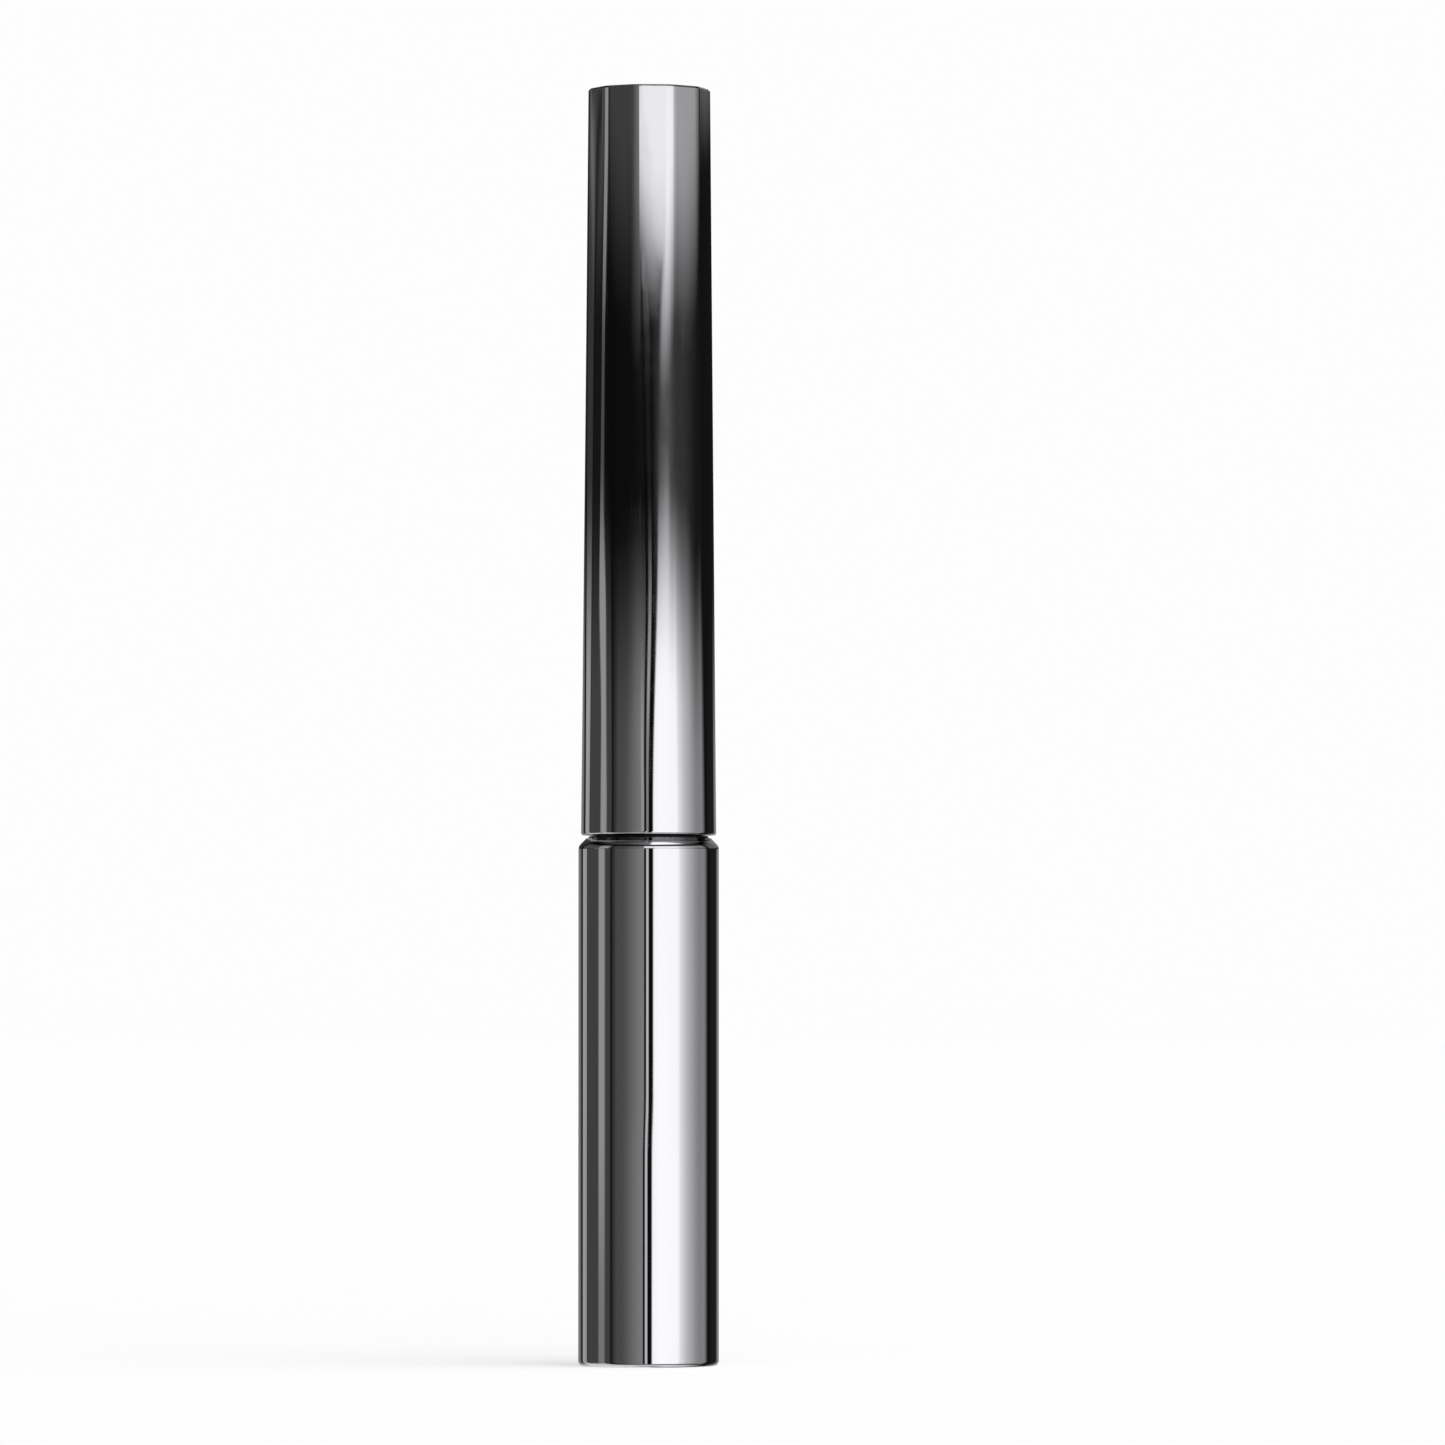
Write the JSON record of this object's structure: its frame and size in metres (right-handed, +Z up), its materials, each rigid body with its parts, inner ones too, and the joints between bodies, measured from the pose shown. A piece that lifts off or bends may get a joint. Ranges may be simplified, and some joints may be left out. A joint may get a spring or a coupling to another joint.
{
  "type": "mascara tube",
  "caption": "Slim mirror-finish mascara tube with a tall faceted screw cap that carries a steel stem and a ringed, dome-tipped applicator.",
  "frame": {"origin": "centre of the flat base that the closed tube stands on", "axes": "+Z up along the tube, from the base to the closed end of the cap; -Y is the front"},
  "size_m": [0.0137, 0.0136, 0.1245],
  "materials": {
    "mirror_shell": "mirror-polished gunmetal",
    "bottle_plastic": "gloss black",
    "wiper_plastic": "satin translucent white",
    "formula": "wet black cream",
    "label_film": "satin blank film",
    "washer_foam": "soft satin",
    "stem_steel": "polished",
    "applicator_black": "gloss black",
    "liner_plastic": "satin natural plastic",
    "weight_steel": "turned and zinc-plated"
  },
  "bodies": {
    "tube": {"tube_shell": "mirror_shell", "base_label": "label_film", "inner_bottle": "bottle_plastic", "wiper": "wiper_plastic", "mascara_formula": "formula"},
    "washer": {"sealing_washer": "washer_foam"},
    "wand": {"stem": "stem_steel", "applicator": "applicator_black"},
    "cap": {"cap_shell": "mirror_shell", "cap_liner": "liner_plastic", "cap_weight": "weight_steel"}
  },
  "joints": [
    {"name": "wand_pull", "type": "slide", "parent": "tube", "child": "washer", "axis": [0, 0, 1], "range_m": [0, 0.065]},
    {"name": "thread_rise", "type": "slide", "parent": "washer", "child": "wand", "axis": [0, 0, 1], "range_m": [0, 0.003]},
    {"name": "cap_turn", "type": "hinge", "parent": "wand", "child": "cap", "pos_m": [0, 0, 0.0516], "axis": [0, 0, 1], "range_deg": [0, 540]}
  ],
  "couplings": [
    {"joint": "thread_rise", "follows": "cap_turn", "m_per_rad": 0.00031831}
  ]
}
